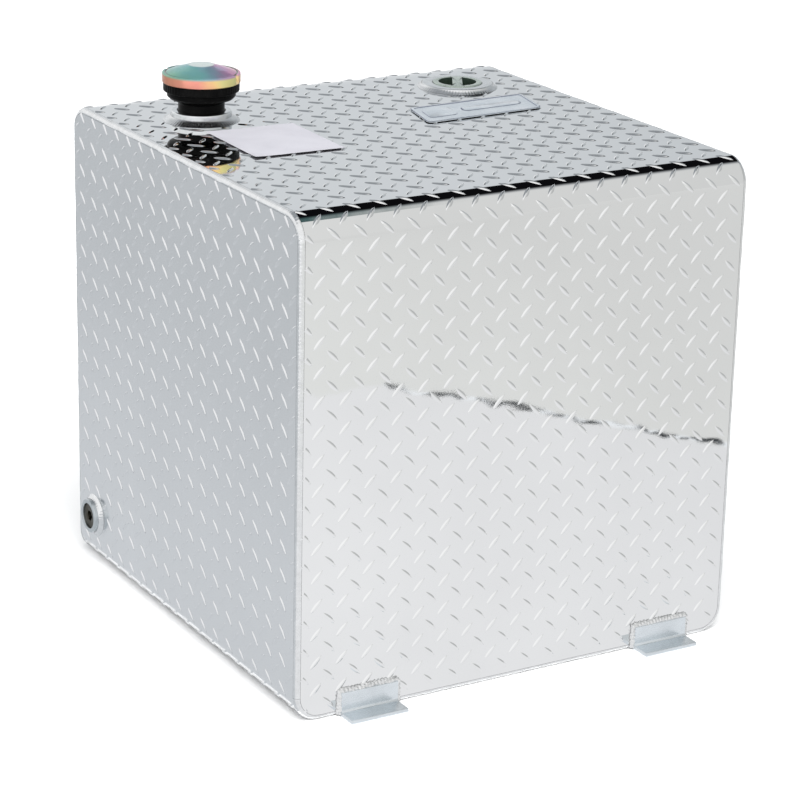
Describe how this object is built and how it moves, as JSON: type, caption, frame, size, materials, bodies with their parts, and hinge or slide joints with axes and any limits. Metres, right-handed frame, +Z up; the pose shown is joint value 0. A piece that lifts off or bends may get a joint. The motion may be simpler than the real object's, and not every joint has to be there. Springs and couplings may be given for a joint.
{
  "type": "liquid transfer tank",
  "caption": "Cube-shaped welded aluminium tread-plate tank with a vented filler cap, a pump bung with a screw plug, a low side drain and angle feet.",
  "frame": {"origin": "centre of the tank's flat underside, level with the undersides of the four feet", "axes": "+Z up; the front, with two feet, faces -Y; the drain is on the left side, facing -X"},
  "size_m": [0.6196, 0.6702, 0.6792],
  "materials": {
    "tread_plate": "bright rolled tread plate, fine rolling streaks",
    "weld_bead": "smooth rippled weld bead",
    "machined_aluminium": "turned, fine tool marks",
    "mill_aluminium": "mill finish",
    "black_enamel": "semi-gloss black enamel on a casting",
    "rubber_seal": "matt black rubber",
    "rainbow_plating": "iridescent yellow zinc plating",
    "spring_steel": "drawn wire",
    "plug_metal": "zinc plated, slight green tint",
    "dark_plug": "black oxide",
    "label_paper": "matt white paper",
    "badge_film": "silver film, blank"
  },
  "bodies": {
    "tank": {"shell_upper": "tread_plate", "shell_lower": "tread_plate", "seam_weld_left": "weld_bead", "seam_weld_right": "weld_bead", "seam_weld_front": "weld_bead", "seam_weld_back": "weld_bead", "baffle_lengthwise": "mill_aluminium", "baffle_crosswise": "mill_aluminium", "filler_flange": "machined_aluminium", "filler_weld": "weld_bead", "cap_base": "black_enamel", "pump_flange": "machined_aluminium", "pump_flange_weld": "weld_bead", "drain_coupling": "machined_aluminium", "drain_weld": "weld_bead", "foot_front_left": "mill_aluminium", "foot_weld_front_left": "weld_bead", "foot_front_right": "mill_aluminium", "foot_weld_front_right": "weld_bead", "foot_back_left": "mill_aluminium", "foot_weld_back_left": "weld_bead", "foot_back_right": "mill_aluminium", "foot_weld_back_right": "weld_bead", "info_label": "label_paper", "badge_plate": "badge_film"},
    "cap_seal": {"cap_gasket": "rubber_seal"},
    "cap": {"cap_body": "black_enamel", "cap_cover": "rainbow_plating", "vent_cage": "spring_steel", "vent_spring": "spring_steel"},
    "vent_valve": {"vent_poppet": "rubber_seal"},
    "pump_seal": {"pump_plug_gasket": "rubber_seal"},
    "pump_plug": {"pump_plug": "plug_metal"},
    "drain_seal": {"drain_plug_gasket": "rubber_seal"},
    "drain_plug": {"drain_plug": "dark_plug"}
  },
  "joints": [
    {"name": "cap_lift", "type": "slide", "parent": "tank", "child": "cap_seal", "axis": [0, 0, 1], "range_m": [0, 0.06]},
    {"name": "cap_turn", "type": "hinge", "parent": "cap_seal", "child": "cap", "pos_m": [-0.1955, 0.158, 0.65], "axis": [0, 0, 1], "range_deg": [-90, 0]},
    {"name": "vent_open", "type": "slide", "parent": "cap", "child": "vent_valve", "axis": [0, 0, 1], "range_m": [0, 0.004], "stiffness_N_per_m": 300, "springref_m": -0.01, "deforming": ["vent_spring"]},
    {"name": "pump_plug_rise", "type": "slide", "parent": "tank", "child": "pump_seal", "axis": [0, 0, 1], "range_m": [0, 0.01104]},
    {"name": "pump_plug_turn", "type": "hinge", "parent": "pump_seal", "child": "pump_plug", "pos_m": [0.194, 0.186, 0.61], "axis": [0, 0, 1], "range_deg": [0, 1800]},
    {"name": "drain_plug_rise", "type": "slide", "parent": "tank", "child": "drain_seal", "axis": [-1, 0, 0], "range_m": [0, 0.00883]},
    {"name": "drain_plug_turn", "type": "hinge", "parent": "drain_seal", "child": "drain_plug", "pos_m": [-0.3048, 0.253, 0.069], "axis": [-1, 0, 0], "range_deg": [0, 1440]}
  ],
  "couplings": [
    {"joint": "pump_plug_turn", "follows": "pump_plug_rise", "rad_per_m": 2844.8},
    {"joint": "drain_plug_turn", "follows": "drain_plug_rise", "rad_per_m": 2844.8}
  ]
}
